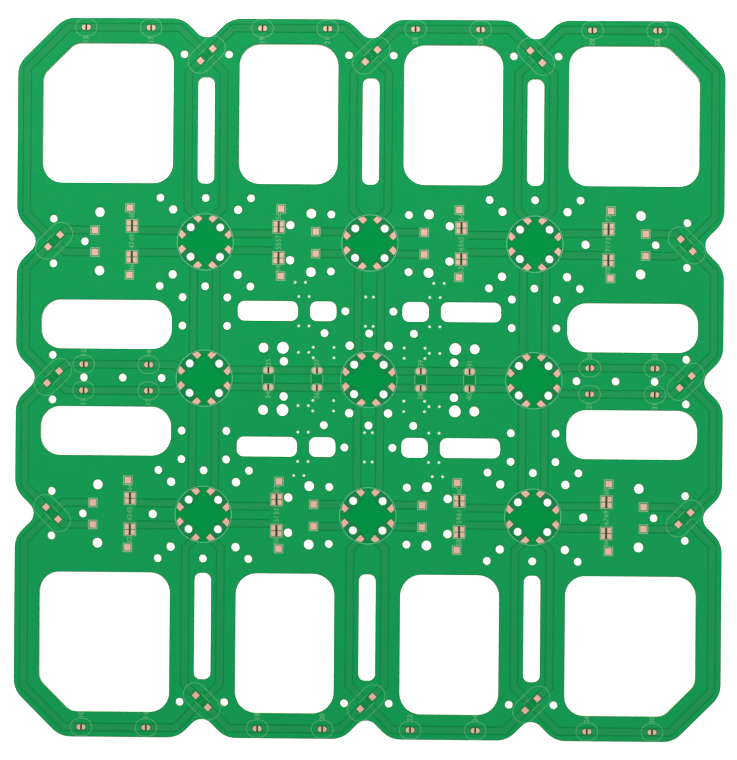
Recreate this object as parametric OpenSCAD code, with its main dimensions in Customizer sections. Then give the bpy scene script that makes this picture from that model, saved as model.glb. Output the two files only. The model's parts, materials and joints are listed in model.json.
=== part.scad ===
// Bare circuit board: a routed and drilled laminate sheet that carries nine ring
// footprints, with its copper pour and tracks, bare lands, plated vias and printed legend.
// The origin is the middle of the underside, +Z is up and +Y is the long way.

/* [Board] */
// Overall width, left to right
board_w = 257.6; // [254:0.2:264]
// Overall length, bottom to top
board_l = 262.2; // [258:0.2:270]
// Thickness of the laminate with its mask
board_t = 1.6; // [0.8:0.1:3.2]
// How far each corner is cut off along both edges
corner_leg = 17.1; // [14:0.1:19]
// Radius where the edge turns into a notch or a corner
shoulder_r = 9.3; // [7:0.1:9.6]

/* [Edge notches] */
// Depth of the notches
notch_depth = 6.8; // [6:0.1:7.4]
// Radius at the bottom of the notches
notch_r = 4.6; // [3.6:0.1:5]

/* [Ring grid] */
// Distance between ring footprints, left to right
pitch_x = 60; // [58.8:0.1:61]
// Distance between ring footprints, bottom to top
pitch_y = 49.65; // [49.2:0.05:51]

/* [Openings] */
// Width of the rim between the large openings and the edge
rim_w = 9.3; // [8.6:0.1:9.8]
// Width of the arms between the large openings
arm_w = 24.1; // [23.4:0.1:25]
// Half the height of the outer rows of footprints
row_half = 21.35; // [20.8:0.05:21.6]
// Half the height of the middle row beside the side openings
middle_half = 10.6; // [10:0.1:11.4]
// Corner radius of the inner large openings
inner_r = 7.7; // [4:0.1:9]
// Corner radius of the outer large openings and the side openings
outer_r = 7.1; // [4:0.1:8]
// Radius at both ends of the cut-off corner of the outer openings
cut_corner_r = 5.5; // [3:0.1:8]
// Width of the slots along the arms
slot_w = 6; // [5:0.1:7]
// Corner radius of the slots
slot_r = 2.35; // [1:0.05:2.4]
// Distance from a slot to the middle of its two-pad footprint
slot_clear = 8.1; // [7:0.1:10]
// Height of the small windows
window_h = 7.1; // [6:0.1:7.6]
// Corner radius of the small windows
window_r = 2.45; // [1:0.05:2.9]
// Width of the bridge between two small windows
bridge_w = 4.5; // [3.6:0.1:5.2]

/* [Holes] */
// Diameter of the small holes
small_d = 2.8; // [2:0.1:3.1]
// Diameter of the medium holes
medium_d = 3; // [2:0.1:3.2]
// Diameter of the large holes
large_d = 3.5; // [2.5:0.1:4]
// Diameter of the largest holes
largest_d = 4.2; // [3:0.1:4.4]
// Bore of the plated vias
via_d = 0.8; // [0.4:0.1:1]
// Wall of the plated vias
via_wall = 0.1; // [0.05:0.01:0.15]

/* [Copper] */
// How far the pour, tracks and lands stand up from the face
copper_t = 0.05; // [0.03:0.01:0.15]
// Width of the tracks
track_w = 2.4; // [1.8:0.1:2.4]
// Distance from the edge to the middle of the perimeter track
track_inset = 3.55; // [3.4:0.05:3.7]
// Gap between the tracks and the copper pour round them
pour_gap = 0.4; // [0.2:0.05:0.45]
// Distance from the pour to the edges, openings and holes
pour_edge = 0.3; // [0.1:0.05:0.4]
// Gap between a land and the tracks and pour round it
land_gap = 0.22; // [0.12:0.01:0.25]
// Outer radius of the lands in the ring footprints
ring_land_r = 9.95; // [9:0.05:9.95]
// Width of the lands in the ring footprints
ring_land_w = 2.2; // [1.6:0.1:2.4]
// Side of the lands in the two-pad footprints
capsule_land = 2.2; // [1.6:0.1:2.4]
// Side of the single square lands
square_land = 2.4; // [1.8:0.1:2.6]
// Length of the split lands on the edge tracks
jumper_l = 3.3; // [3:0.1:3.8]
// Height of the split lands on the edge tracks
jumper_h = 2; // [1.9:0.05:2.4]
// Length of the split lands in the middle row
centre_l = 3.7; // [3.2:0.1:4]
// Height of the split lands in the middle row
centre_h = 2.2; // [1.9:0.05:2.4]
// Gap across each split land
split_gap = 0.6; // [0.2:0.05:0.8]
// Width of each pad in the four-pad groups
quad_pad_w = 1.55; // [1.2:0.05:1.8]
// Height of each pad in the four-pad groups
quad_pad_h = 1.95; // [1.4:0.05:2]

/* [Legend] */
// Thickness of the printed ink
ink_t = 0.02; // [0.01:0.01:0.05]
// Width of the printed outlines
line_w = 0.14; // [0.12:0.02:0.36]
// Width of the printed frames close round the lands
frame_w = 0.2; // [0.12:0.02:0.3]
// Radius of the printed ring circles, to the middle of the line
ring_line_r = 10.25; // [10.2:0.05:10.6]

/* [Hidden] */
$fn = 96;

bare_green = [0.02, 0.53, 0.25];
pour_green = [0.07, 0.60, 0.33];
track_green = [0.13, 0.58, 0.33];
copper_pink = [0.95, 0.69, 0.62];
legend_white = [0.86, 0.95, 0.86];

half_w = board_w / 2;
half_l = board_l / 2;
columns = [-pitch_x, 0, pitch_x];
rows = [-pitch_y, 0, pitch_y];

// One point in each quarter of the board for every point given
function signs(v) = abs(v) < 0.01 ? [1] : [-1, 1];
function quarters(points) = [for (p = points, sx = signs(p.x), sy = signs(p.y))
    [sx * p.x, sy * p.y]];

// Points at equal offsets on all four sides of a middle
function around(middle, dx, dy) = [for (sx = signs(dx), sy = signs(dy))
    [middle.x + sx * dx, middle.y + sy * dy]];

// Places of the footprints

corner_ring = [pitch_x, pitch_y];
side_ring = [pitch_x, 0];
top_ring = [0, pitch_y];
middle_ring = [0, 0];

// Two-pad footprints at the notches, from the bottom of the notch to their middle
end_notch_clear = 6.5;
side_notch_clear = 6.85;
end_capsule_y = half_l - notch_depth - end_notch_clear;
side_capsule_x = half_w - notch_depth - side_notch_clear;

// The long axis of each one leans to the right or to the left of upright
leans_right = 45;
leans_left = 135;
top_and_left_capsules = [
    [-pitch_x, end_capsule_y, leans_right],
    [0, end_capsule_y, leans_right],
    [pitch_x, end_capsule_y, leans_left],
    [-side_capsule_x, pitch_y, leans_right],
    [-side_capsule_x, 0, leans_right],
    [-side_capsule_x, -pitch_y, leans_left]];
capsules = concat(top_and_left_capsules,
    [for (c = top_and_left_capsules) [-c.x, -c.y, c.z]]);

// Their pads, and the thin neck of track that passes between them over a bare strip
capsule_pad_off = 3.11;
neck_w = 0.45;
bare_strip_half = 1.5;

// Lands of the ring footprints: strips at 45 degrees beside the four holes
ring_hole_off = 5.37;
ring_land_off = 4.14;
ring_land_start = 6.72;

// Tongues of the pour that reach into the ring footprints round the holes
tongue_start = 5.6;
tongue_half = ring_land_off - ring_land_w / 2 - land_gap;

// Four-pad groups and square lands beside the corner rings, inward from the ring and
// outward from the side edge
quad_off = 26.73;
quad_clear = 42.07;
quad_row = 5.67;
quad_pitch_x = 2.27;
quad_pitch_y = 2.13;
square_off = 27.56;
square_clear = 41.24;
square_row = 12.25;
far_square_off = 40.26;
far_square_clear = 28.54;
quad_x = [pitch_x - quad_off, half_w - quad_clear];
square_x = [pitch_x - square_off, half_w - square_clear];
far_square_x = [pitch_x - far_square_off, half_w - far_square_clear];

// Split lands on the edge tracks and in the middle row
first_jumper = 16;
jumper_off = 20.3;
far_clear = 24.82;
far_x = half_w - far_clear;
split_r = 0.92;
window_reach = track_w / 2 + 0.05;
centre_jumper = 18.9;
centre_jumper_off = 23.37;

// Bare square between the two split lands across the middle row
centre_bare = 3.8;

// Lines of the tracks, each from the middle of its column or row
arm_track = 6.4;
column_track = 4.1;
inward_track = 3.1;
outward_track = 4;
side_track = 4.75;

quads = quarters([for (x = quad_x, s = [-1, 1]) [x, pitch_y + s * quad_row]]);
quad_pads = around([0, 0], quad_pitch_x / 2, quad_pitch_y / 2);
quad_w = quad_pitch_x + quad_pad_w;
quad_h = quad_pitch_y + quad_pad_h;
squares = quarters([for (s = [-1, 1], p = concat(
    [for (x = square_x) [x, pitch_y + s * square_row]],
    [for (x = far_square_x) [x, pitch_y + s * outward_track]])) p]);
track_y = half_l - track_inset;
track_x = half_w - track_inset;
edge_jumpers = quarters([for (x = [first_jumper, pitch_x - jumper_off, pitch_x + jumper_off,
    far_x]) [x, track_y]]);
side_jumpers = quarters([for (x = [pitch_x + jumper_off, far_x]) [x, side_track]]);
centre_jumpers = quarters([for (x = [centre_jumper, pitch_x - centre_jumper_off])
    [x, inward_track]]);

// Places of the holes

// Holes beside the two-pad footprints, just outside their middle line
capsule_hole_off = 8.13;
capsule_hole_shift = 0.25;
end_hole_y = end_capsule_y + capsule_hole_shift;
side_hole_x = side_capsule_x + capsule_hole_shift;

// Holes round the rings, for the parts that sit on them and stand between them
corner_hole_x = 16.53;
corner_hole_y = 16.08;
near_hole = 11.84;
top_hole_x = 14.15;
top_hole_y = 10.38;
middle_hole_x = 16.29;
middle_hole_y = 16.77;
centre_hole_x = 7.08;
centre_hole_y = 12.3;
column_hole_off = 8.15;
upper_column_hole = 20.12;
lower_column_hole = 19.14;
window_hole_x = 8.75;

// Holes in a row beside the side rings, evenly spaced up to the far split lands
first_side_hole = 15.58;
side_hole_pitch = (far_x - pitch_x - first_side_hole) / 2;

small_holes = concat(
    [for (x = columns, y = rows, p = around([x, y], ring_hole_off, ring_hole_off)) p],
    quarters(concat(
        around(corner_ring, corner_hole_x, corner_hole_y),
        around(corner_ring, 0, corner_hole_y),
        around(top_ring, top_hole_x, top_hole_y),
        around([pitch_x, end_hole_y], capsule_hole_off, 0),
        around([pitch_x, pitch_y - upper_column_hole], column_hole_off, 0),
        around([pitch_x, lower_column_hole], column_hole_off, 0),
        around([side_hole_x, pitch_y], 0, capsule_hole_off),
        [[capsule_hole_off, end_hole_y], [side_hole_x, capsule_hole_off], [far_x, pitch_y]],
        [[middle_hole_x, middle_hole_y], [0, middle_hole_y], [window_hole_x, pitch_y / 2]],
        [for (i = [0:2]) [far_x - i * side_hole_pitch, 0]])));

// The top left corner ring has no locating hole beside it
locating_hole = 18.46;
locating_holes = [for (s = [[1, 1], [1, -1], [-1, -1]])
    [s.x * (pitch_x + locating_hole), s.y * pitch_y]];

// Holes beside the inward four-pad groups and in the middle row
quad_hole_off = 30.95;
quad_hole_row = 6.4;
row_hole_off = 28.97;
row_hole_y = 6.4;

medium_holes = concat(
    locating_holes,
    quarters(concat(
        around(corner_ring, near_hole, near_hole),
        around([pitch_x - quad_hole_off, pitch_y], 0, quad_hole_row),
        [[centre_hole_x, centre_hole_y], [pitch_x - row_hole_off, row_hole_y]])));

// Screw holes on both sides of the corner rings, and screws and posts in the middle row
screw_off = 38.56;
screw_clear = 30.24;
screw_row = 10.65;
middle_screw_off = 21.51;
post_off = 28.59;
post_y = 11.34;

large_holes = quarters(concat(
    [for (x = [pitch_x - screw_off, half_w - screw_clear], s = [-1, 1])
        [x, pitch_y + s * screw_row]],
    [[pitch_x - middle_screw_off, post_y]]));

largest_holes = quarters([[pitch_x - post_off, post_y]]);

// Vias in pairs beside the windows, and in a group of six near the middle ring
bridge_x = 23.85;
via_pair = 1.89;
via_group = 3.78;
upper_via_x = 25.26;
upper_via_drop = 14.45;
window_via_drop = 19.61;
window_via_y = 19.36;
inner_via_x = 16.56;
inner_via_y = 9.69;
column_via_x = 1.4;
vias = quarters(concat(
    around([upper_via_x, pitch_y - upper_via_drop], via_pair, 0),
    around([bridge_x, pitch_y - window_via_drop], via_pair, 0),
    around([bridge_x, window_via_y], via_pair, 0),
    around([bridge_x, inner_via_y], via_pair, 0),
    around([inner_via_x, inner_via_y], via_group, via_pair),
    [[column_via_x, pitch_y - window_via_drop], [column_via_x, window_via_y]]));

// Rounded shapes

// All that lies outside a round between two directions, to be cut from a sharp corner
module round_off(r, from, to) {
    difference() {
        polygon([[0, 0], 3 * r * [cos(from), sin(from)], 3 * r * [cos(to), sin(to)]]);
        circle(r);
    }
}

// Rectangle between two corners with rounded corners
module rounded(low, high, r) {
    difference() {
        translate(low) square(high - low);
        translate(high - [r, r]) round_off(r, 0, 90);
        translate([low.x + r, high.y - r]) round_off(r, 90, 180);
        translate(low + [r, r]) round_off(r, 180, 270);
        translate([high.x - r, low.y + r]) round_off(r, 270, 360);
    }
}

// Level shape with round ends, their middles at the given reach from its own
module stadium(reach, r) {
    difference() {
        square([2 * (reach + 2 * r), 2 * r], center = true);
        for (s = [0, 1]) mirror([s, 0]) translate([reach, 0]) difference() {
            translate([0, -2 * r]) square(4 * r);
            circle(r);
        }
    }
}

module stadium_line(reach, r, w) {
    difference() {
        stadium(reach, r + w / 2);
        stadium(reach, r - w / 2);
    }
}

module frame_line(w, h) {
    difference() {
        square([w + frame_w, h + frame_w], center = true);
        square([w - frame_w, h - frame_w], center = true);
    }
}

// Outline of the board

// The flanks of a notch slope at this angle. For a copy of the outline that lies a margin
// further in, the rounds keep their middles: a notch grows and a shoulder shrinks by it
flank = 45;
corner_share = 2 - sqrt(2);
function bottom_r(margin) = notch_r + margin;
function flank_x(margin) = bottom_r(margin) * sin(flank);
function flank_depth(margin) = notch_depth - bottom_r(margin) * (1 - cos(flank));
function mouth(margin) = flank_x(margin) + flank_depth(margin);
function turn_r(margin) = shoulder_r - margin;
function turn_leg(r) = r * tan(flank / 2);

function notch(at, edge, margin) = [[at - mouth(margin), edge],
    [at - flank_x(margin), edge - flank_depth(margin)],
    [at + flank_x(margin), edge - flank_depth(margin)], [at + mouth(margin), edge]];

// One edge with its three notches and the cut-off corner after it, going clockwise
function edge_points(pitch, half, edge, margin) = let (leg = corner_leg - margin * corner_share)
    concat(notch(-pitch, edge, margin), notch(0, edge, margin), notch(pitch, edge, margin),
        [[half - leg, edge], [half, edge - leg]]);

function turned(points, angle) = [for (p = points)
    [p.x * cos(angle) + p.y * sin(angle), p.y * cos(angle) - p.x * sin(angle)]];

module edge_cuts(pitch, half, edge, margin) {
    r = turn_r(margin);
    leg = corner_leg - margin * corner_share;
    for (x = [-pitch, 0, pitch]) translate([x, edge]) {
        translate([0, bottom_r(margin) - notch_depth]) circle(bottom_r(margin));
        translate([-mouth(margin) - turn_leg(r), -r]) round_off(r, 90 - flank, 90);
        translate([mouth(margin) + turn_leg(r), -r]) round_off(r, 90, 90 + flank);
    }
    for (s = [0, 1]) mirror([s, 0])
        translate([half - leg - turn_leg(r), edge - r]) round_off(r, 90 - flank, 90);
}

module outline(margin = 0) {
    w = half_w - margin;
    l = half_l - margin;
    long_way = edge_points(pitch_x, w, l, margin);
    short_way = edge_points(pitch_y, l, w, margin);
    difference() {
        polygon(concat(long_way, turned(short_way, 90),
            turned(long_way, 180), turned(short_way, 270)));
        for (a = [0, 180]) rotate(a) edge_cuts(pitch_x, w, l, margin);
        for (a = [90, 270]) rotate(a) edge_cuts(pitch_y, l, w, margin);
    }
}

// Openings, each larger by a margin on all sides

row_edge = pitch_y + row_half;
far_row_edge = pitch_y - row_half;
arm_half = arm_w / 2;
open_x = half_w - rim_w;
open_y = half_l - rim_w;

module opening(low, high, r, margin) {
    grow = [margin, margin];
    rounded(low - grow, high + grow, r + margin);
}

module openings(margin = 0) {
    for (sx = [0, 1], sy = [0, 1]) mirror([sx, 0]) mirror([0, sy]) {
        opening([arm_half, row_edge], [pitch_x - arm_half, open_y], inner_r, margin);
        outer_opening(margin);
        opening([pitch_x + arm_half, middle_half], [open_x, far_row_edge], outer_r, margin);
        window(arm_half, bridge_x - bridge_w / 2, margin);
        window(bridge_x + bridge_w / 2, pitch_x - arm_half, margin);
    }
    for (x = columns, sy = [0, 1]) mirror([0, sy]) opening([x - slot_w / 2, row_edge],
        [x + slot_w / 2, end_capsule_y - slot_clear], slot_r, margin);
}

module window(from, to, margin) {
    opening([from, far_row_edge - window_h], [to, far_row_edge], window_r, margin);
}

// Its cut-off corner lies one rim inside the board's own
module outer_opening(margin) {
    leg = corner_leg - (rim_w - margin) * corner_share;
    r = outer_r + margin;
    cut_r = cut_corner_r + margin;
    low = [pitch_x + arm_half - margin, row_edge - margin];
    high = [open_x + margin, open_y + margin];
    difference() {
        polygon([low, [high.x, low.y], [high.x, high.y - leg], [high.x - leg, high.y],
            [low.x, high.y]]);
        translate([low.x + r, high.y - r]) round_off(r, 90, 180);
        translate([low.x + r, low.y + r]) round_off(r, 180, 270);
        translate([high.x - r, low.y + r]) round_off(r, 270, 360);
        translate([high.x - leg - turn_leg(cut_r), high.y - cut_r]) round_off(cut_r, 45, 90);
        translate([high.x - cut_r, high.y - leg - turn_leg(cut_r)]) round_off(cut_r, 0, 45);
    }
}

module holes(margin = 0) {
    for (p = small_holes) translate(p) circle(d = small_d + 2 * margin);
    for (p = medium_holes) translate(p) circle(d = medium_d + 2 * margin);
    for (p = large_holes) translate(p) circle(d = large_d + 2 * margin);
    for (p = largest_holes) translate(p) circle(d = largest_d + 2 * margin);
}

module via_holes() {
    for (p = vias) translate(p) circle(d = via_d + 2 * via_wall);
}

// Tracks

// A track reaches a ring along the strip of a land: it turns 45 degrees at a distance that
// grows with its own offset, and ends well inside the ring
strip_shift = ring_land_off * sqrt(2);
dive = 4;
function ring_end(off) = [[off, abs(off) + strip_shift],
    [off - sign(off) * dive, abs(off) - dive + strip_shift]];
function from_above(ring, off) = [for (q = ring_end(off)) ring + q];
function from_below(ring, off) = [for (q = ring_end(off)) ring + [q.x, -q.y]];
function from_right(ring, off) = [for (q = ring_end(off)) ring + [q.y, q.x]];
function from_left(ring, off) = [for (q = ring_end(off)) ring + [-q.y, q.x]];
function reversed(points) = [for (i = [len(points) - 1:-1:0]) points[i]];

end_dive = track_y - end_capsule_y;
side_dive = track_x - side_capsule_x;
corner_sum = half_w + half_l - corner_leg - track_inset * sqrt(2);

quad_reach = quad_w / 2 + land_gap;
square_reach = square_land / 2 + land_gap;

// Lines that follow the edge: each runs straight through the two-pad footprints at the
// notches and on to a ring, or to a far square land
edge_lines = [
    concat(reversed(from_above(top_ring, -arm_track)),
        [[-arm_track, end_capsule_y - arm_track], [end_dive, track_y],
            [pitch_x - end_dive, track_y], [pitch_x + arm_track, end_capsule_y - arm_track]],
        from_above(corner_ring, arm_track)),
    concat(reversed(from_above(corner_ring, -arm_track)),
        [[pitch_x - arm_track, end_capsule_y - arm_track], [pitch_x + end_dive, track_y],
            [corner_sum - track_y, track_y], [track_x, corner_sum - track_x],
            [track_x, pitch_y + side_dive],
            [side_capsule_x - outward_track, pitch_y - outward_track],
            [far_square_x[1] + square_reach, pitch_y - outward_track]]),
    concat([[far_square_x[1] + square_reach, pitch_y + outward_track],
            [side_capsule_x - outward_track, pitch_y + outward_track],
            [track_x, pitch_y - side_dive], [track_x, side_dive],
            [side_capsule_x - side_track, -side_track]],
        from_right(side_ring, -side_track))];

// Left and right line of the outer column, and the right one of the middle column
column_sides = [[corner_ring, side_ring, -1], [corner_ring, side_ring, 1],
    [top_ring, middle_ring, 1]];
column_lines = [for (c = column_sides) concat(
    reversed(from_below(c[0], c[2] * column_track)),
    from_above(c[1], c[2] * column_track))];

row_lines = [for (s = [-1, 1], line = [
    concat([[quad_x[1] - quad_reach, pitch_y + s * outward_track]],
        from_right(corner_ring, s * outward_track)),
    concat([[quad_x[0] + quad_reach, pitch_y + s * inward_track]],
        from_left(corner_ring, s * inward_track)),
    concat([[far_square_x[0] - square_reach, pitch_y + s * outward_track]],
        from_right(top_ring, s * outward_track))]) line];

middle_line = concat(reversed(from_left(side_ring, inward_track)),
    from_right(middle_ring, inward_track));

function unit(v) = v / norm(v);
function left_of(v) = [-v.y, v.x];

// Offset to the left of a line's point that keeps its width through a bend
function mitre(line, i) = let (
    before = unit(line[max(i, 1)] - line[max(i, 1) - 1]),
    after = i < len(line) - 1 ? unit(line[i + 1] - line[i]) : before,
    middle = unit(left_of(i > 0 ? before : after) + left_of(after)))
    middle / (middle * left_of(after));

module ribbon(line, w) {
    last = len(line) - 1;
    polygon(concat(
        [for (i = [0:last]) line[i] + w / 2 * mitre(line, i)],
        [for (i = [last:-1:0]) line[i] - w / 2 * mitre(line, i)]));
}

// Radius of the bare middle of the ring footprints
bare_ring_r = ring_land_r + land_gap;

// Bare strips on both sides of the neck at a two-pad footprint, each with its pad
strip_end = capsule_pad_off + capsule_land / 2 + land_gap;
strip_l = strip_end - neck_w / 2;
strip_middle = (strip_end + neck_w / 2) / 2;

module ribbons(w) {
    for (sx = [0, 1], sy = [0, 1]) mirror([sx, 0]) mirror([0, sy])
        for (line = concat(edge_lines, column_lines, row_lines, [middle_line])) ribbon(line, w);
}

module track_shapes() {
    difference() {
        union() ribbons(track_w);
        at_rings() circle(bare_ring_r);
        at_capsules() for (s = [-1, 1]) translate([s * strip_middle, 0])
            square([strip_l, 2 * bare_strip_half], center = true);
        for (p = concat(edge_jumpers, side_jumpers))
            translate(p) split_window(jumper_l);
        for (p = centre_jumpers) translate(p) split_window(centre_l);
    }
}

module at_rings() {
    for (x = columns, y = rows) translate([x, y]) children();
}

module at_capsules() {
    for (c = capsules) translate([c.x, c.y]) rotate(c.z) children();
}

// All that the pour stays clear of
module kept_clear() {
    difference() {
        union() {
            ribbons(track_w + 2 * pour_gap);
            at_rings() circle(bare_ring_r);
        }
        at_rings() tongues();
    }
    at_capsules() square([2 * strip_end, 2 * bare_strip_half], center = true);
    for (p = quads) translate(p)
        square([quad_w + 2 * land_gap, quad_h + 2 * land_gap], center = true);
    for (p = squares) translate(p) square(2 * square_reach, center = true);
    for (p = centre_jumpers) translate([p.x, 0]) square(centre_bare, center = true);
}

module tongues() {
    for (a = [45:90:315]) rotate(a) intersection() {
        translate([-tongue_half, tongue_start]) square([2 * tongue_half, ring_land_r]);
        circle(bare_ring_r);
    }
}

// Lands

module split_window(l) {
    corner = [l / 2 + land_gap, window_reach];
    rounded(-corner, corner, split_r + land_gap);
}

module split_land(l, h) {
    corner = [l / 2, h / 2];
    difference() {
        rounded(-corner, corner, split_r);
        square([split_gap, 2 * h], center = true);
    }
}

module on_face(h) {
    translate([0, 0, board_t]) linear_extrude(h) children();
}

// Legend

oval_reach = 0.78;
oval_r = 3.15;
capsule_line_reach = 3.6;
capsule_line_r = 4.2;
inner_line_off = 1.85;
inner_line_l = 4;
square_margin = 0.35;
quad_margin = [0.2, 0.28];
centre_margin = 0.2;
centre_line_off = 2.15;
centre_line_gap = 0.1;

// Ink lies on the copper and sinks to the face in the gaps that it crosses
module printed() {
    on_face(copper_t) difference() {
        intersection() {
            children();
            union() {
                kept_clear();
                holes(pour_edge);
            }
        }
        track_shapes();
    }
    translate([0, 0, copper_t]) on_face(ink_t) children();
}

// Pieces

module board() {
    color(bare_green) linear_extrude(board_t) difference() {
        outline();
        openings();
        holes();
        via_holes();
    }
}

module pour() {
    color(pour_green) on_face(copper_t) difference() {
        outline(pour_edge);
        openings(pour_edge);
        holes(pour_edge);
        via_holes();
        kept_clear();
    }
}

module tracks() {
    color(track_green) on_face(copper_t) track_shapes();
}

module via_barrels() {
    color(copper_pink) linear_extrude(board_t) for (p = vias) translate(p) difference() {
        circle(d = via_d + 2 * via_wall);
        circle(d = via_d);
    }
}

module ring_lands() {
    color(copper_pink) on_face(copper_t) at_rings()
        for (a = [45:90:315], s = [-1, 1]) rotate(a) intersection() {
            translate([s * ring_land_off - ring_land_w / 2, ring_land_start])
                square([ring_land_w, ring_land_r]);
            circle(ring_land_r);
        }
}

module capsule_lands() {
    color(copper_pink) on_face(copper_t) at_capsules() for (s = [-1, 1])
        translate([s * capsule_pad_off, 0]) square(capsule_land, center = true);
}

module jumper_lands() {
    color(copper_pink) on_face(copper_t) for (p = concat(edge_jumpers, side_jumpers))
        translate(p) split_land(jumper_l, jumper_h);
}

module centre_lands() {
    color(copper_pink) on_face(copper_t) for (p = centre_jumpers)
        translate(p) split_land(centre_l, centre_h);
}

module quad_lands() {
    color(copper_pink) on_face(copper_t) for (p = quads, q = quad_pads)
        translate(p + q) square([quad_pad_w, quad_pad_h], center = true);
}

module square_lands() {
    color(copper_pink) on_face(copper_t) for (p = squares)
        translate(p) square(square_land, center = true);
}

module ring_legend() {
    color(legend_white) printed() at_rings() difference() {
        circle(ring_line_r + line_w / 2);
        circle(ring_line_r - line_w / 2);
    }
}

module capsule_legend() {
    color(legend_white) printed() at_capsules() {
        stadium_line(capsule_line_reach, capsule_line_r, line_w);
        for (s = [-1, 1]) translate([0, s * inner_line_off])
            square([inner_line_l, line_w], center = true);
    }
}

module jumper_legend() {
    color(legend_white) printed() for (p = concat(edge_jumpers, side_jumpers))
        translate(p) stadium_line(oval_reach, oval_r, line_w);
}

module centre_legend() {
    line_l = 2 * (inward_track - track_w / 2 - centre_line_gap);
    frame_r = centre_h / 2 + centre_margin;
    color(legend_white) printed() for (p = centre_jumpers) {
        translate(p) stadium_line(centre_l / 2 + centre_margin - frame_r, frame_r, frame_w);
        if (p.y > 0) for (s = [-1, 1]) translate([p.x + s * centre_line_off, 0])
            square([line_w, line_l], center = true);
    }
}

module quad_legend() {
    color(legend_white) printed() for (p = quads) translate(p)
        frame_line(quad_w + 2 * quad_margin.x, quad_h + 2 * quad_margin.y);
}

module square_legend() {
    side = square_land + 2 * square_margin;
    color(legend_white) printed() for (p = squares) translate(p) frame_line(side, side);
}

board();
pour();
tracks();
via_barrels();
ring_lands();
capsule_lands();
jumper_lands();
centre_lands();
quad_lands();
square_lands();
ring_legend();
capsule_legend();
jumper_legend();
centre_legend();
quad_legend();
square_legend();
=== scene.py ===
import bpy
import json
from math import radians
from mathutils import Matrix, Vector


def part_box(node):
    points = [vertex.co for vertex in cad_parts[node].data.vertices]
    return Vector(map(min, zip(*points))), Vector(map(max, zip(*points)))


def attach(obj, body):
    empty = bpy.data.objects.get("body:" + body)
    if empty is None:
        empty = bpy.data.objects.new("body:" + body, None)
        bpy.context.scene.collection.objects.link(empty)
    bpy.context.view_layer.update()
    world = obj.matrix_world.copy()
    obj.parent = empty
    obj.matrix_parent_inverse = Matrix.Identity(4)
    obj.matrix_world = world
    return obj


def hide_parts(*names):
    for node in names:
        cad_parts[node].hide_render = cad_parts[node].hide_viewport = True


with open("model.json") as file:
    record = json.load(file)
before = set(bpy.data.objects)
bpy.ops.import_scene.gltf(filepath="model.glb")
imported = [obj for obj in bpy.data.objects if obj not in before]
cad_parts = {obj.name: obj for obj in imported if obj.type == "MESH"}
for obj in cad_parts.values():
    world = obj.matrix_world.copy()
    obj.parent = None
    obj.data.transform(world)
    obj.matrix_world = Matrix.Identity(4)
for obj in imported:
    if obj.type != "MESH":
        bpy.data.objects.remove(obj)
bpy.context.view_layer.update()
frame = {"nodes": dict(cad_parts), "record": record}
bpy.ops.object.select_all(action="DESELECT")
boardLow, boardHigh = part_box("board")
pourLow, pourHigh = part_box("pour")
print("frame loaded:", len(frame["nodes"]), "nodes")


# Camera: looks straight down on the board from arm's length
camera = {
    "lens": 90,
    "place": (0.0062, 0.0013, 0.6933),
    "turn": (-0.12, 0.525, 0.447),  # degrees
    "sensor": 36,
    "nearest": 0.01,
    "farthest": 50,
}


def makeCamera(c):
    bpy.ops.object.camera_add(location=c["place"], rotation=[radians(a) for a in c["turn"]])
    made = bpy.context.object
    made.data.lens = c["lens"]
    made.data.sensor_width = c["sensor"]
    made.data.clip_start = c["nearest"]
    made.data.clip_end = c["farthest"]
    bpy.context.scene.camera = made


makeCamera(camera)
bpy.context.scene.view_settings.view_transform = "Standard"


# Node helpers
def newMaterial(name):
    made = bpy.data.materials.new(name)
    made.use_nodes = True
    made.node_tree.nodes.clear()
    return made, made.node_tree.nodes, made.node_tree.links


def shader(nodes, links):
    out = nodes.new("ShaderNodeOutputMaterial")
    made = nodes.new("ShaderNodeBsdfPrincipled")
    links.new(made.outputs[0], out.inputs["Surface"])
    return made


mixSocket = {"factor": 0, "first": 6, "second": 7, "result": 2}  # the colour ones of a Mix node


def mixColours(nodes, links, factor, first, second):
    mix = nodes.new("ShaderNodeMix")
    mix.data_type = "RGBA"
    for name, value in (("factor", factor), ("first", first), ("second", second)):
        socket = mix.inputs[mixSocket[name]]
        if hasattr(value, "links"):
            links.new(value, socket)
        else:
            socket.default_value = value if name == "factor" else (*value, 1)
    return mix.outputs[mixSocket["result"]]


def mapRange(nodes, links, value, fromLow, fromHigh, toLow, toHigh, smooth=False):
    node = nodes.new("ShaderNodeMapRange")
    node.interpolation_type = "SMOOTHSTEP" if smooth else "LINEAR"
    links.new(value, node.inputs["Value"])
    node.inputs["From Min"].default_value = fromLow
    node.inputs["From Max"].default_value = fromHigh
    node.inputs["To Min"].default_value = toLow
    node.inputs["To Max"].default_value = toHigh
    return node.outputs["Result"]


def math(nodes, links, operation, first, second=0.0):
    node = nodes.new("ShaderNodeMath")
    node.operation = operation
    for socket, value in ((0, first), (1, second)):
        if hasattr(value, "links"):
            links.new(value, node.inputs[socket])
        else:
            node.inputs[socket].default_value = value
    return node.outputs[0]


def objectPlace(nodes):
    return nodes.new("ShaderNodeTexCoord").outputs["Object"]


def stretched(nodes, links, where, stretch):
    node = nodes.new("ShaderNodeMapping")
    node.inputs["Scale"].default_value = stretch
    links.new(where, node.inputs["Vector"])
    return node.outputs[0]


noiseSpread = (0.3, 0.7)  # most of a noise texture lies between these


def noise(nodes, links, where, size, detail=2):  # size of one patch, in metres
    node = nodes.new("ShaderNodeTexNoise")
    links.new(where, node.inputs["Vector"])
    node.inputs["Scale"].default_value = 1 / size
    node.inputs["Detail"].default_value = detail
    return node.outputs["Fac"]


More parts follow.
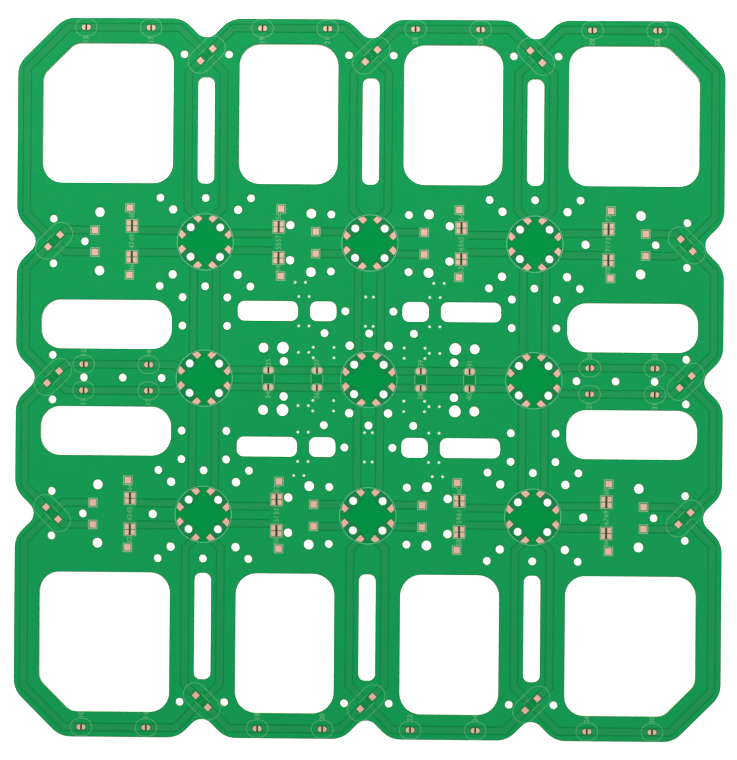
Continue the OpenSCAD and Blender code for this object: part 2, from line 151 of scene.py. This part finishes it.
waveLength = 0.314  # length of one band of the wave texture at scale 1


def threads(nodes, links, where, pitch, direction, waver):  # parallel yarns, pitch in metres
    node = nodes.new("ShaderNodeTexWave")
    node.bands_direction = direction
    links.new(where, node.inputs["Vector"])
    node.inputs["Scale"].default_value = waveLength / pitch
    node.inputs["Distortion"].default_value = waver
    return node.outputs["Fac"]


def distance(nodes, links, across, along):
    squares = math(nodes, links, "ADD", math(nodes, links, "MULTIPLY", across, across),
                   math(nodes, links, "MULTIPLY", along, along))
    return math(nodes, links, "SQRT", squares)


def ringReach(nodes, links, where, grid):  # distance to the middle of the nearest ring footprint
    parts = nodes.new("ShaderNodeSeparateXYZ")
    links.new(where, parts.inputs[0])
    across = math(nodes, links, "PINGPONG", parts.outputs["X"], grid["across"] / 2)
    along = math(nodes, links, "PINGPONG", parts.outputs["Y"], grid["along"] / 2)
    return distance(nodes, links, across, along)


def clothWeave(nodes, links, where, pitch, waver):
    warp = threads(nodes, links, where, pitch, "X", waver)
    weft = threads(nodes, links, where, pitch, "Y", waver)
    return math(nodes, links, "MULTIPLY", warp, weft)


def bump(nodes, links, board, height, depth):  # depth from low to high, in metres
    node = nodes.new("ShaderNodeBump")
    node.inputs["Distance"].default_value = depth
    links.new(height, node.inputs["Height"])
    links.new(node.outputs[0], board.inputs["Normal"])


# Studio: pale floor, white surroundings, and a dark patch overhead that a glossy board mirrors
studio = {
    "floorSize": 12,
    "floorDrop": 0.0001,
    "floorColour": (0.9, 0.9, 0.9),
    "floorGlow": 0.8,
    "backdrop": 1,
    "sky": 0.41,
    "patchCentre": (0.02, -0.02),
    "patchStart": 0.3,
    "patchEnd": 0.55,
}


def makeFloor(s):
    bpy.ops.mesh.primitive_plane_add(size=s["floorSize"], location=(0, 0, boardLow.z - s["floorDrop"]))
    floor = bpy.context.object
    floor.name = "floor"
    made, nodes, links = newMaterial("paleFloor")
    out = nodes.new("ShaderNodeOutputMaterial")
    paper = nodes.new("ShaderNodeBsdfDiffuse")
    paper.inputs["Color"].default_value = (*s["floorColour"], 1)
    glow = nodes.new("ShaderNodeEmission")
    ray = nodes.new("ShaderNodeLightPath")
    seen = math(nodes, links, "MAXIMUM", ray.outputs["Is Camera Ray"], ray.outputs["Is Glossy Ray"])
    links.new(math(nodes, links, "MULTIPLY", seen, s["floorGlow"]), glow.inputs["Strength"])
    both = nodes.new("ShaderNodeAddShader")
    links.new(paper.outputs[0], both.inputs[0])
    links.new(glow.outputs[0], both.inputs[1])
    links.new(both.outputs[0], out.inputs["Surface"])
    floor.data.materials.append(made)


def makeSurroundings(s):
    world = bpy.data.worlds.new("studioWorld")
    bpy.context.scene.world = world
    world.use_nodes = True
    nodes, links = world.node_tree.nodes, world.node_tree.links
    nodes.clear()
    out = nodes.new("ShaderNodeOutputWorld")
    where = nodes.new("ShaderNodeTexCoord")
    parts = nodes.new("ShaderNodeSeparateXYZ")
    links.new(where.outputs["Generated"], parts.inputs[0])
    across = math(nodes, links, "SUBTRACT", parts.outputs["X"], s["patchCentre"][0])
    along = math(nodes, links, "SUBTRACT", parts.outputs["Y"], s["patchCentre"][1])
    reach = distance(nodes, links, across, along)
    sky = mapRange(nodes, links, reach, s["patchStart"], s["patchEnd"], 0, s["sky"], smooth=True)
    ray = nodes.new("ShaderNodeLightPath")
    strength = nodes.new("ShaderNodeMix")
    links.new(ray.outputs["Is Camera Ray"], strength.inputs["Factor"])
    links.new(sky, strength.inputs["A"])
    strength.inputs["B"].default_value = s["backdrop"]
    glow = nodes.new("ShaderNodeBackground")
    links.new(strength.outputs["Result"], glow.inputs["Strength"])
    links.new(glow.outputs[0], out.inputs["Surface"])


makeFloor(studio)
makeSurroundings(studio)
print("studio made")


# Lamps: two soft panels, well off to the sides so that the board doesn't mirror them
lamps = {
    "back": {"place": (-0.45, 1.3, 1.05), "size": 0.7, "power": 33.5},
    "right": {"place": (1.15, -0.35, 1.1), "size": 0.8, "power": 6.5},
}


def makeLamp(name, lamp):
    bpy.ops.object.light_add(type="AREA", location=lamp["place"])
    made = bpy.context.object
    made.name = name
    made.data.energy = lamp["power"]
    made.data.size = lamp["size"]
    aim = -made.location
    made.rotation_euler = aim.to_track_quat("-Z", "Y").to_euler()


for name, lamp in lamps.items():
    makeLamp(name, lamp)
print("lamps made")


# Glossy green solder mask. Lengths are in metres
maskFinish = {
    "overBare": (0.0003, 0.287, 0.058),
    "overPour": (0.006, 0.3185, 0.0865),
    # darker green for bare mask outside the rings: partly its own tone, partly painted shade for narrow
    # gaps
    "overGapShade": (0.003, 0.25, 0.057),
    "overTrack": (0.0135, 0.293, 0.087),
    "overTongue": (0.007, 0.222, 0.066),
    "roughness": (0.2, 0.28),
    "cloudSize": 0.055,
    "cloudDepth": 0.04,
    "mottleSize": 0.004,
    "mottleDepth": 0.025,
    "peelSize": 0.002,
    "peelDepth": 0.000002,
    "grainPitch": 0.0003,
    "grainStretch": (1, 0.06, 1),
    "grainDepth": 0.03,
    "weavePitch": 0.0006,
    "weaveWaver": 0.6,
    "weaveDepth": 0.07,
    "weaveShare": 0.6,  # of the relief, the rest is orange peel
    "weaveRise": 0.000006,
}

# Routed and drilled walls of the laminate, where the glass layers show
wallFinish = {
    "pale": (0.74, 0.9, 0.64),
    "deep": (0.6, 0.78, 0.47),
    "layerPitch": 0.00018,
    "layerWaver": 0.8,
    "fuzzSize": 0.0003,
    "fuzzDepth": 0.3,
    "roughness": 0.75,
}


def dimAndLit(nodes, links, colour, factor, depth):
    dim = tuple(c * (1 - depth) for c in colour)
    lit = tuple(c * (1 + depth) for c in colour)
    return mixColours(nodes, links, factor, dim, lit)


def shaded(nodes, links, shade, factor, depth):  # darkens a colour by up to depth
    dark = mixColours(nodes, links, 1 - depth, (0, 0, 0), shade)
    return mixColours(nodes, links, factor, shade, dark)


def maskCoat(name, m, colour):
    made, nodes, links = newMaterial(name)
    board = shader(nodes, links)
    where = objectPlace(nodes)
    cloud = noise(nodes, links, where, m["cloudSize"])
    mottle = noise(nodes, links, where, m["mottleSize"], 3)
    shade = dimAndLit(nodes, links, colour, cloud, m["cloudDepth"])
    shade = shaded(nodes, links, shade, mottle, m["mottleDepth"])
    peel = noise(nodes, links, where, m["peelSize"], 1)
    rough = mapRange(nodes, links, mottle, *noiseSpread, *m["roughness"])
    links.new(rough, board.inputs["Roughness"])
    return made, nodes, links, board, where, shade, peel


# The ring footprints stand in a grid, and their middles look darker than the field round them
ringMiddles = [m["pos_m"] for m in frame["record"]["mounts"] if m["name"].startswith("ring_holes")]
ringLine = 0.0001  # the darker middle stops this far inside the ring's outer edge


def findRings():
    across = max(p[0] for p in ringMiddles)
    along = max(p[1] for p in ringMiddles)
    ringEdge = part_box("ring_legend")[1].x
    return {
        "across": across,  # pitch from ring to ring
        "along": along,
        "halfGrid": 1.5,  # three rings each way: half the grid, in pitches
        "reach": ringEdge - across - ringLine,
    }


ringGrid = findRings()


def insideRings(nodes, links, where, grid):
    near = math(nodes, links, "LESS_THAN", ringReach(nodes, links, where, grid), grid["reach"])
    parts = nodes.new("ShaderNodeSeparateXYZ")
    links.new(where, parts.inputs[0])
    for axis, pitch in (("X", grid["across"]), ("Y", grid["along"])):
        off = math(nodes, links, "ABSOLUTE", parts.outputs[axis])
        onGrid = math(nodes, links, "LESS_THAN", off, grid["halfGrid"] * pitch)
        near = math(nodes, links, "MULTIPLY", near, onGrid)
    return near


# Mask over copper: the brushed grain of the copper shows faintly through it
def makeMaskOverCopper(name, m, colour):
    made, nodes, links, board, where, shade, peel = maskCoat(name, m, colour)
    shade = mixColours(nodes, links, insideRings(nodes, links, where, ringGrid), shade, m["overTongue"])
    brushed = stretched(nodes, links, where, m["grainStretch"])
    grain = noise(nodes, links, brushed, m["grainPitch"], 2)
    links.new(shaded(nodes, links, shade, grain, m["grainDepth"]), board.inputs["Base Color"])
    bump(nodes, links, board, peel, m["peelDepth"])
    return made


facesUp = 0.5  # a face whose normal rises more than this is a flat one, not a wall


# Mask over bare laminate: the glass cloth shows through, and on edges and bores the laminate itself
def makeMaskOverLaminate(name, m, wall):
    made, nodes, links, board, where, shade, peel = maskCoat(name, m, m["overBare"])
    weave = clothWeave(nodes, links, where, m["weavePitch"], m["weaveWaver"])
    inRings = insideRings(nodes, links, where, ringGrid)
    # outside the rings the bare mask wears a darker green, partly its own tone and partly painted shade
    # standing for the shadow in narrow gaps between copper
    gap = dimAndLit(nodes, links, m["overGapShade"], peel, m["mottleDepth"])
    front = mixColours(nodes, links, inRings, gap, shade)
    front = shaded(nodes, links, front, weave, m["weaveDepth"])
    back = dimAndLit(nodes, links, m["overPour"], peel, m["mottleDepth"])
    layers = threads(nodes, links, where, wall["layerPitch"], "Z", wall["layerWaver"])
    fuzz = noise(nodes, links, where, wall["fuzzSize"], 3)
    side = mixColours(nodes, links, layers, wall["deep"], wall["pale"])
    side = shaded(nodes, links, side, fuzz, wall["fuzzDepth"])
    geometry = nodes.new("ShaderNodeNewGeometry")
    parts = nodes.new("ShaderNodeSeparateXYZ")
    links.new(geometry.outputs["True Normal"], parts.inputs[0])
    upward = math(nodes, links, "GREATER_THAN", parts.outputs["Z"], facesUp)
    downward = math(nodes, links, "LESS_THAN", parts.outputs["Z"], -facesUp)
    flat = math(nodes, links, "ADD", upward, downward)
    colour = mixColours(nodes, links, downward, side, back)
    links.new(mixColours(nodes, links, upward, colour, front), board.inputs["Base Color"])
    coat = mapRange(nodes, links, flat, 0, 1, wall["roughness"], m["roughness"][0])
    links.new(coat, board.inputs["Roughness"])
    height = math(nodes, links, "ADD", math(nodes, links, "MULTIPLY", weave, m["weaveShare"]), peel)
    bump(nodes, links, board, height, m["weaveRise"])
    return made


# Bare copper of the lands, slightly tarnished, paler along the border and dark on the etched edge and
# walls: partly the etched copper's own tone, partly painted shade in the gaps between lands
copperFinish = {
    "patchSize": 0.0007,
    "tarnishFrom": 0.45,
    "tarnishTo": 0.75,
    "brushStretch": (1, 0.1, 1),
    "brushPitch": 0.00006,
    "brushRise": 0.0000012,
    "metallic": 0.25,
    "roughness": (0.38, 0.52),
}
copperTones = {  # fresh and tarnished
    "bareCopper": ((0.95, 0.515, 0.42), (0.88, 0.44, 0.34)),
    "washedCopper": ((0.72, 0.66, 0.39), (0.66, 0.57, 0.33)),
    # near black: partly etched copper, partly painted shade in the gaps between lands
    "etchedCopperShade": ((0.1, 0.06, 0.02), (0.05, 0.035, 0.012)),
}


def makeCopper(name, fresh, tarnished, c):
    made, nodes, links = newMaterial(name)
    board = shader(nodes, links)
    where = objectPlace(nodes)
    patches = noise(nodes, links, where, c["patchSize"], 4)
    tarnish = mapRange(nodes, links, patches, c["tarnishFrom"], c["tarnishTo"], 0, 1, smooth=True)
    links.new(mixColours(nodes, links, tarnish, fresh, tarnished), board.inputs["Base Color"])
    rough = mapRange(nodes, links, patches, *noiseSpread, *c["roughness"])
    links.new(rough, board.inputs["Roughness"])
    brushed = stretched(nodes, links, where, c["brushStretch"])
    brush = noise(nodes, links, brushed, c["brushPitch"], 2)
    bump(nodes, links, board, brush, c["brushRise"])
    board.inputs["Metallic"].default_value = c["metallic"]
    return made


# Tin on the via barrels
tinFinish = {
    "bright": (0.64, 1.0, 0.8),
    "dull": (0.56, 0.97, 0.72),
    "patchSize": 0.0004,
    "patchRise": 0.000004,
    "metallic": 0.1,
    "roughness": 0.4,
}


def makeTinned(name, t):
    made, nodes, links = newMaterial(name)
    board = shader(nodes, links)
    patches = noise(nodes, links, objectPlace(nodes), t["patchSize"], 3)
    links.new(mixColours(nodes, links, patches, t["dull"], t["bright"]), board.inputs["Base Color"])
    bump(nodes, links, board, patches, t["patchRise"])
    board.inputs["Metallic"].default_value = t["metallic"]
    board.inputs["Roughness"].default_value = t["roughness"]
    return made


# Printed ink, thin enough to let the green through: the finer the line, the thinner the ink
inkFinish = {
    "dotSize": 0.00012,
    "dotRise": 0.000003,
    "thinFrom": 0.42,
    "thinTo": 0.68,
    "roughness": 0.55,
}
inkCoats = {  # colours where the ink lies solid and where it lies thin
    "ringInk": ((0.24, 0.78, 0.48), (0.12, 0.62, 0.32)),
    "outlineInk": ((0.15, 0.54, 0.25), (0.08, 0.42, 0.16)),
    "frameInk": ((0.42, 0.58, 0.4), (0.26, 0.45, 0.27)),
    "smallFrameInk": ((0.27, 0.56, 0.36), (0.16, 0.44, 0.26)),
    "numberInk": ((0.13, 0.49, 0.19), (0.08, 0.41, 0.14)),
}
inkOf = {
    "ring_legend": "ringInk",
    "capsule_legend": "outlineInk",
    "jumper_legend": "outlineInk",
    "centre_legend": "smallFrameInk",
    "quad_legend": "frameInk",
    "square_legend": "frameInk",
}


def makeInk(name, solid, thin, i):
    made, nodes, links = newMaterial(name)
    board = shader(nodes, links)
    where = objectPlace(nodes)
    dots = noise(nodes, links, where, i["dotSize"], 3)
    patchy = mapRange(nodes, links, dots, i["thinFrom"], i["thinTo"], 0, 1, smooth=True)
    links.new(mixColours(nodes, links, patchy, solid, thin), board.inputs["Base Color"])
    bump(nodes, links, board, dots, i["dotRise"])
    board.inputs["Roughness"].default_value = i["roughness"]
    return made


# Bare laminate at the bottom of the mask openings, painted near black: partly its own brown tone, partly
# painted shade in the narrow gaps round the lands
openingFinish = {
    "resin": (0.016, 0.022, 0.005),
    "glass": (0.032, 0.04, 0.011),
    "weavePitch": 0.0006,
    "weaveWaver": 0.8,
    "weaveRise": 0.000005,
    "roughness": 0.6,
}


def makeBareLaminate(name, o):
    made, nodes, links = newMaterial(name)
    board = shader(nodes, links)
    where = objectPlace(nodes)
    weave = clothWeave(nodes, links, where, o["weavePitch"], o["weaveWaver"])
    links.new(mixColours(nodes, links, weave, o["resin"], o["glass"]), board.inputs["Base Color"])
    bump(nodes, links, board, weave, o["weaveRise"])
    board.inputs["Roughness"].default_value = o["roughness"]
    return made


def wear(piece, material):
    piece.data.materials.clear()
    piece.data.materials.append(material)


maskOverLaminate = makeMaskOverLaminate("maskOverLaminate", maskFinish, wallFinish)
maskOverPour = makeMaskOverCopper("maskOverPour", maskFinish, maskFinish["overPour"])
maskOverTracks = makeMaskOverCopper("maskOverTracks", maskFinish, maskFinish["overTrack"])
copper = {name: makeCopper(name, fresh, dull, copperFinish) for name, (fresh, dull) in copperTones.items()}
tinned = makeTinned("tinnedBarrel", tinFinish)
inks = {name: makeInk(name, solid, thin, inkFinish) for name, (solid, thin) in inkCoats.items()}
shadedBareLaminate = makeBareLaminate("shadedBareLaminate", openingFinish)

wear(frame["nodes"]["board"], maskOverLaminate)
wear(frame["nodes"]["pour"], maskOverPour)
wear(frame["nodes"]["tracks"], maskOverTracks)
wear(frame["nodes"]["via_barrels"], tinned)
for node, name in inkOf.items():
    wear(frame["nodes"][node], inks[name])
print("finishes made")


# Lands: flat copper with a thin wash of tin along its border, and an etched edge and walls painted dark,
# partly as painted shade in the gaps between lands
landShape = {
    "etched": 0.000045,
    "etchedSteps": 2,
    "levelTop": 0.99,  # the normal of a land's top rises more than this
}
washWidth = {
    "ring_lands": 0.00026,
    "capsule_lands": 0.00026,
    "square_lands": 0.00026,
    "quad_lands": 0.00034,
    "jumper_lands": 0.0004,
    "centre_lands": 0.0004,
}


copyClean = {
    "weld": 0.0000001,
    "levelAngle": 1,  # degrees
}


def copyOf(node, name, pick):
    source = frame["nodes"][node]
    piece = bpy.data.objects.new(name, source.data.copy())
    bpy.context.collection.objects.link(piece)
    bpy.ops.object.select_all(action="DESELECT")
    piece.select_set(True)
    bpy.context.view_layer.objects.active = piece
    bpy.ops.object.mode_set(mode="EDIT")
    bpy.ops.mesh.select_all(action="SELECT")
    bpy.ops.mesh.remove_doubles(threshold=copyClean["weld"])
    bpy.ops.mesh.dissolve_limited(angle_limit=radians(copyClean["levelAngle"]))
    bpy.ops.mesh.select_mode(type=pick)
    bpy.ops.mesh.select_all(action="DESELECT")
    bpy.ops.object.mode_set(mode="OBJECT")
    return piece


def topEdges(piece, levelTop):  # edges between a level top and a wall
    mesh = piece.data
    walls = set()
    tops = set()
    for face in mesh.polygons:
        (tops if face.normal.z > levelTop else walls).update(face.edge_keys)
    return tops & walls


def finishLands(node, washed, shape):
    piece = copyOf(node, node.replace("_lands", "Copper"), "EDGE")
    piece.data.materials.clear()
    for tone in ("bareCopper", "washedCopper", "etchedCopperShade"):
        piece.data.materials.append(copper[tone])
    rim = topEdges(piece, shape["levelTop"])
    for edge in piece.data.edges:
        edge.select = edge.key in rim
    bpy.ops.object.mode_set(mode="EDIT")
    bpy.ops.mesh.bevel(offset=shape["etched"], segments=shape["etchedSteps"], affect="EDGES")
    bpy.ops.mesh.select_mode(type="FACE")
    bpy.ops.mesh.select_all(action="DESELECT")
    bpy.ops.object.mode_set(mode="OBJECT")
    for face in piece.data.polygons:
        face.select = face.normal.z > shape["levelTop"]
        face.material_index = 1 if face.select else 2
    bpy.ops.object.mode_set(mode="EDIT")
    bpy.ops.mesh.inset(thickness=washed, depth=0)
    bpy.ops.object.mode_set(mode="OBJECT")
    for face in piece.data.polygons:
        if face.select:
            face.material_index = 0
    bpy.ops.object.shade_flat()
    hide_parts(node)
    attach(piece, "root")
    return piece


lands = {node: finishLands(node, washed, landShape) for node, washed in washWidth.items()}
print("lands etched")


# Mask openings: the mask stays clear of each land, and the laminate shows in the gap, painted dark as
# partly painted shade
openingShape = {
    "margin": 0.00016,
    "corner": 0.00025,
    "cornerSteps": 4,
    "lift": 0.000004,
    "together": 0.001,  # lands closer than this share one opening
}
openingHeight = boardHigh.z + openingShape["lift"]


def islandBoxes(piece):
    mesh = piece.data
    parent = list(range(len(mesh.vertices)))

    def root(i):
        while parent[i] != i:
            parent[i] = parent[parent[i]]
            i = parent[i]
        return i

    for edge in mesh.edges:
        parent[root(edge.vertices[0])] = root(edge.vertices[1])
    boxes = {}
    for vertex in mesh.vertices:
        low, high = boxes.setdefault(root(vertex.index), (list(vertex.co), list(vertex.co)))
        for a in (0, 1):
            low[a] = min(low[a], vertex.co[a])
            high[a] = max(high[a], vertex.co[a])
    return list(boxes.values())


def joinNear(boxes, gap):  # boxes nearer to each other than the gap become one
    groups = []
    for low, high in boxes:
        near = [g for g in groups if all(
            low[a] - gap < g[1][a] and g[0][a] < high[a] + gap for a in (0, 1))]
        for g in near:
            groups.remove(g)
            low = [min(low[a], g[0][a]) for a in (0, 1)]
            high = [max(high[a], g[1][a]) for a in (0, 1)]
        groups.append((low, high))
    return groups


def finishOpening(piece, name):
    piece.name = name
    wear(piece, shadedBareLaminate)
    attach(piece, "root")


def openSingleLands(node, o):  # a frame that follows each land's own outline
    piece = copyOf(node, node, "FACE")
    for face in piece.data.polygons:
        face.select = abs(face.normal.z) > facesUp
    bpy.ops.object.mode_set(mode="EDIT")
    bpy.ops.mesh.delete(type="ONLY_FACE")
    bpy.ops.mesh.select_mode(type="VERT")
    bpy.ops.mesh.select_all(action="DESELECT")
    bpy.ops.object.mode_set(mode="OBJECT")
    for vertex in piece.data.vertices:
        vertex.select = vertex.co.z < pourLow.z + o["lift"]
    bpy.ops.object.mode_set(mode="EDIT")
    bpy.ops.transform.shrink_fatten(value=o["margin"], use_even_offset=True)
    bpy.ops.mesh.select_all(action="SELECT")
    bpy.ops.transform.resize(value=(1, 1, 0), center_override=(0, 0, openingHeight))
    bpy.ops.object.mode_set(mode="OBJECT")
    finishOpening(piece, node.replace("_lands", "Openings"))


def openLandGroups(node, o, groups):  # one rounded window under each group of lands
    made = []
    for low, high in groups:
        middle = ((low[0] + high[0]) / 2, (low[1] + high[1]) / 2, openingHeight)
        if made:
            piece = bpy.data.objects.new(node, made[0].data.copy())
            bpy.context.collection.objects.link(piece)
            piece.location = middle
        else:
            wide = high[0] - low[0] + 2 * o["margin"]
            tall = high[1] - low[1] + 2 * o["margin"]
            bpy.ops.mesh.primitive_plane_add(size=1, location=middle)
            piece = bpy.context.object
            bpy.ops.object.mode_set(mode="EDIT")
            bpy.ops.transform.resize(value=(wide, tall, 1))
            bpy.ops.mesh.bevel(offset=o["corner"], segments=o["cornerSteps"], affect="VERTICES")
            bpy.ops.object.mode_set(mode="OBJECT")
        made.append(piece)
    bpy.ops.object.select_all(action="DESELECT")
    for piece in made:
        piece.select_set(True)
    bpy.context.view_layer.objects.active = made[0]
    bpy.ops.object.join()
    bpy.ops.object.transform_apply(location=True, rotation=True, scale=True)
    finishOpening(made[0], node.replace("_lands", "Openings"))


landGroups = {}
for node in ("ring_lands", "capsule_lands"):
    openSingleLands(node, openingShape)
for node in ("jumper_lands", "centre_lands", "quad_lands"):
    landGroups[node] = joinNear(islandBoxes(lands[node]), openingShape["together"])
    openLandGroups(node, openingShape, landGroups[node])
    print(node, "in", len(landGroups[node]), "openings")
print("mask opened")


# Small plain numbers printed beside the footprints, all turned to read up the board
numberShape = {
    "size": 0.0026,
    "slim": 0.000005,
    "ink": 0.00001,  # half the thickness
    "first": 10,
    "turn": 90,  # degrees
    "edgeStrip": 0.1,  # lands farther out than this stand on the end strips
    "besideEdgeLands": -0.00445,
    "besideSideLands": 0.0042,
    "besideCentreLands": 0.0029,
    "besideQuadLands": (0.0039, -0.0043),
}


def groupMiddles(node):
    return sorted(((low[0] + high[0]) / 2, (low[1] + high[1]) / 2) for low, high in landGroups[node])


def ringRow(y):  # the middle of the row of rings nearest to y
    return min((p[1] for p in ringMiddles), key=lambda row: abs(row - y))


def numberPlaces(n):  # offsets are measured away from the middle of the board
    places = []
    for x, y in groupMiddles("jumper_lands"):
        onEdge = abs(y) > n["edgeStrip"]
        beside = n["besideEdgeLands"] if onEdge else n["besideSideLands"]
        places.append((x, y + (beside if y > 0 else -beside)))
    for x, y in groupMiddles("centre_lands"):
        beside = n["besideCentreLands"]
        places.append((x, y + (beside if y > 0 else -beside)))
    for x, y in groupMiddles("quad_lands"):
        outward = 1 if y > ringRow(y) else -1
        places += [(x, y + outward * beside) for beside in n["besideQuadLands"]]
    return places


def printNumber(value, place, n):
    height = pourHigh.z + n["ink"]
    bpy.ops.object.text_add(location=(*place, height), rotation=(0, 0, radians(n["turn"])))
    made = bpy.context.object
    made.data.body = str(value)
    made.data.size = n["size"]
    made.data.offset = n["slim"]
    made.data.extrude = n["ink"]
    made.data.align_x = "CENTER"
    made.data.align_y = "CENTER"
    bpy.ops.object.convert(target="MESH")
    return made


def printNumbers(n):
    made = [printNumber(n["first"] + i, place, n) for i, place in enumerate(numberPlaces(n))]
    bpy.ops.object.select_all(action="DESELECT")
    for piece in made:
        piece.select_set(True)
    bpy.context.view_layer.objects.active = made[0]
    bpy.ops.object.join()
    bpy.ops.object.transform_apply(location=True, rotation=True, scale=True)
    piece = made[0]
    piece.name = "printedNumbers"
    wear(piece, inks["numberInk"])
    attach(piece, "root")
    print("numbers printed:", len(made))


printNumbers(numberShape)
